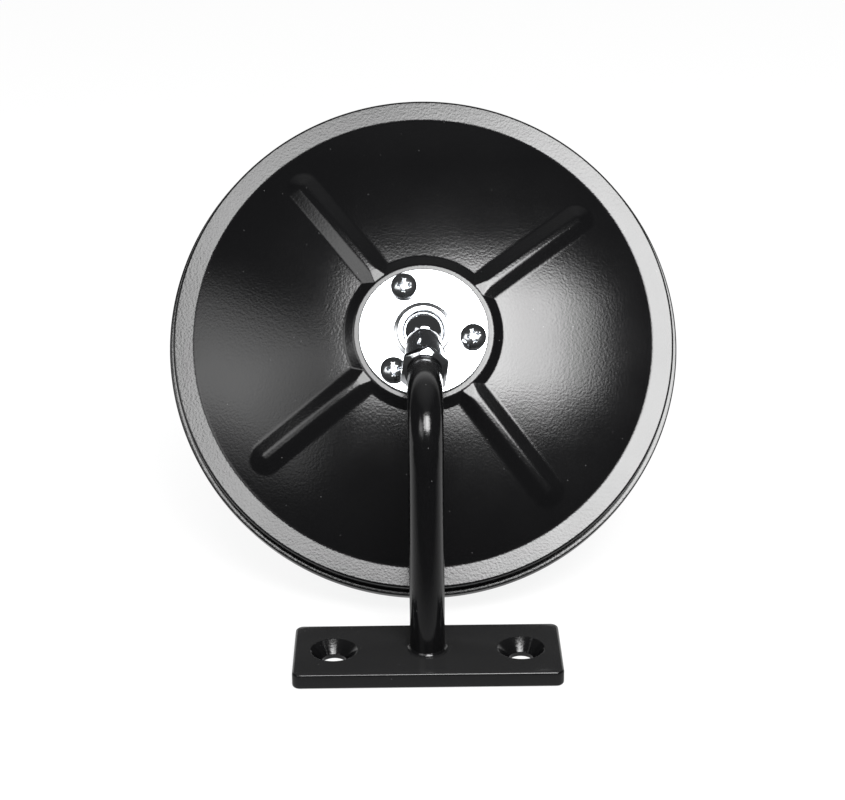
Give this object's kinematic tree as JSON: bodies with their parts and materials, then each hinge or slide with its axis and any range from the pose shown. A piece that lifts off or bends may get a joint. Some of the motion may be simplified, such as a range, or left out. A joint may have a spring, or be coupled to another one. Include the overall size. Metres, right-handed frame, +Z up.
{
  "type": "convex security mirror",
  "caption": "Round convex security mirror with a ribbed black steel back, ball-jointed to a bent rod that stands on a countersunk base plate.",
  "frame": {"origin": "centre of the base plate's underside, between the two fixing holes", "axes": "+Z up along the rod's upright leg, +Y along its level leg towards the mirror, +X along the base plate's length"},
  "size_m": [0.201, 0.1696, 0.1806],
  "materials": {
    "black_powder_coat": "satin black powder coat with a fine orange peel",
    "chrome_plate": "polished chrome plate",
    "bright_zinc": "bright zinc plate, satin",
    "nylon": "natural nylon, matt",
    "spring_steel": "oiled spring steel",
    "drawn_steel": "plain drawn steel",
    "rubber": "black extruded rubber, matt",
    "mirror_glass": "silvered glass, polished"
  },
  "bodies": {
    "bracket": {"base_plate": "black_powder_coat", "arm_rod": "black_powder_coat", "foot_weld": "black_powder_coat"},
    "ball_stud": {"ball_stud": "chrome_plate", "lock_nut": "chrome_plate"},
    "ball_seat": {"seat_pad": "nylon", "spring_washer": "spring_steel"},
    "mirror_head": {"back_shell": "black_powder_coat", "clamp_plate": "bright_zinc", "clamp_screw_1": "bright_zinc", "clamp_screw_2": "bright_zinc", "clamp_screw_3": "bright_zinc", "socket_cup": "drawn_steel", "weld_nut_1": "drawn_steel", "weld_nut_2": "drawn_steel", "weld_nut_3": "drawn_steel", "mirror_glass": "mirror_glass", "rim_gasket": "rubber", "rim_band": "black_powder_coat"}
  },
  "joints": [
    {"name": "stud_turn", "type": "hinge", "parent": "bracket", "child": "ball_stud", "pos_m": [0, 0.0763, 0.103], "axis": [0, 1, 0], "continuous": true},
    {"name": "ball_tilt", "type": "hinge", "parent": "ball_stud", "child": "ball_seat", "pos_m": [0, 0.0763, 0.103], "axis": [1, 0, 0], "range_deg": [-1, 68]},
    {"name": "head_spin", "type": "hinge", "parent": "ball_seat", "child": "mirror_head", "pos_m": [0, 0.0763, 0.103], "axis": [0, -0.8339, 0.5519], "continuous": true}
  ]
}
